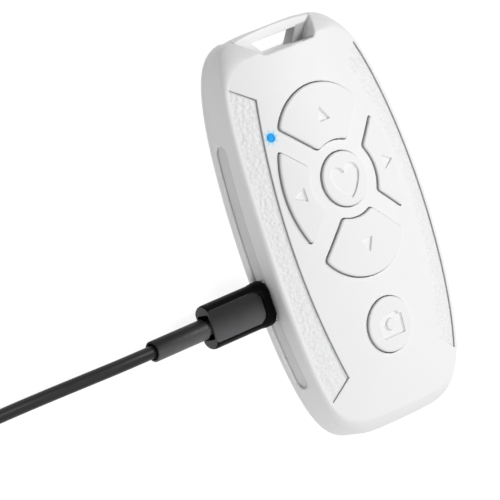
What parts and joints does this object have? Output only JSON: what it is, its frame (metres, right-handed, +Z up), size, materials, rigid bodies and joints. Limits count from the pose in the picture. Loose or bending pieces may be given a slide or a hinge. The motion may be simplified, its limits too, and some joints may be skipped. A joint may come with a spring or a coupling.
{
  "type": "bluetooth camera shutter remote",
  "caption": "Flat crowned handheld remote with a ring of direction keys, a shutter key, side grips, a lanyard slot and a plugged-in charging lead.",
  "frame": {"origin": "centre of the remote's flat back, on the surface that it lies on", "axes": "+X across the remote, away from the charging port; +Y along it towards the lanyard slot; +Z up, out of the keyed face"},
  "size_m": [0.1676, 0.1112, 0.0157],
  "materials": {
    "white_shell": "moulded ABS, satin with a soft gloss",
    "white_key": "moulded ABS, smooth satin",
    "grip_skin": "pale grey soft-touch skin with a fine leather grain",
    "clear_plastic": "clear moulded light guide, lit blue",
    "blue_light": "lit blue",
    "board": "green solder mask on glass fibre",
    "chip": "moulded epoxy",
    "tinned_steel": "nickel plated, drawn",
    "gold_board": "glass fibre with a polyimide tape",
    "cell_pouch": "laminated foil pouch",
    "foam": "closed-cell foam",
    "lead_insulation": "insulated wire",
    "switch_case": "moulded case with a steel cover",
    "plunger": "moulded",
    "black_plug": "moulded, satin black",
    "black_cord": "black vinyl jacket with a slight gloss",
    "connector_core": "moulded",
    "white_core": "moulded"
  },
  "bodies": {
    "housing": {"bottom_cover": "white_shell", "top_cover": "white_shell", "left_grip_panel": "grip_skin", "right_grip_panel": "grip_skin", "light_pipe": "clear_plastic", "status_led": "blue_light", "circuit_board": "board", "board_screws": "tinned_steel", "bluetooth_chip": "chip", "radio_crystal": "tinned_steel", "charging_chip": "chip", "port_shell": "tinned_steel", "port_tongue": "connector_core", "battery_cell": "cell_pouch", "battery_pad": "foam", "battery_guard": "gold_board", "battery_leads": "lead_insulation", "up_switch": "switch_case", "down_switch": "switch_case", "left_switch": "switch_case", "right_switch": "switch_case", "heart_switch": "switch_case", "camera_switch": "switch_case"},
    "key_up": {"up_plunger": "plunger", "up_key": "white_key"},
    "key_down": {"down_plunger": "plunger", "down_key": "white_key"},
    "key_left": {"left_plunger": "plunger", "left_key": "white_key"},
    "key_right": {"right_plunger": "plunger", "right_key": "white_key"},
    "key_heart": {"heart_plunger": "plunger", "heart_key": "white_key"},
    "key_camera": {"camera_plunger": "plunger", "camera_key": "white_key"},
    "charging_lead": {"plug_shell": "tinned_steel", "plug_core": "connector_core", "plug_body": "black_plug", "plug_relief": "black_plug", "cord_lead": "black_cord", "cord_coil": "black_cord", "cord_tail": "black_cord", "cord_tie": "black_plug", "far_relief": "black_plug", "far_body": "black_plug", "far_shell": "tinned_steel", "far_core": "white_core"}
  },
  "joints": [
    {"name": "up_press", "type": "slide", "parent": "housing", "child": "key_up", "axis": [0, 0, -1], "range_m": [0, 0.0003], "stiffness_N_per_m": 5000},
    {"name": "down_press", "type": "slide", "parent": "housing", "child": "key_down", "axis": [0, 0, -1], "range_m": [0, 0.0003], "stiffness_N_per_m": 5000},
    {"name": "left_press", "type": "slide", "parent": "housing", "child": "key_left", "axis": [0, 0, -1], "range_m": [0, 0.0003], "stiffness_N_per_m": 5000},
    {"name": "right_press", "type": "slide", "parent": "housing", "child": "key_right", "axis": [0, 0, -1], "range_m": [0, 0.0003], "stiffness_N_per_m": 5000},
    {"name": "heart_press", "type": "slide", "parent": "housing", "child": "key_heart", "axis": [0, 0, -1], "range_m": [0, 0.0003], "stiffness_N_per_m": 5000},
    {"name": "camera_press", "type": "slide", "parent": "housing", "child": "key_camera", "axis": [0, 0, -1], "range_m": [0, 0.0003], "stiffness_N_per_m": 5000},
    {"name": "plug_pull", "type": "slide", "parent": "housing", "child": "charging_lead", "axis": [-1, 0, 0], "range_m": [0, 0.008]}
  ]
}
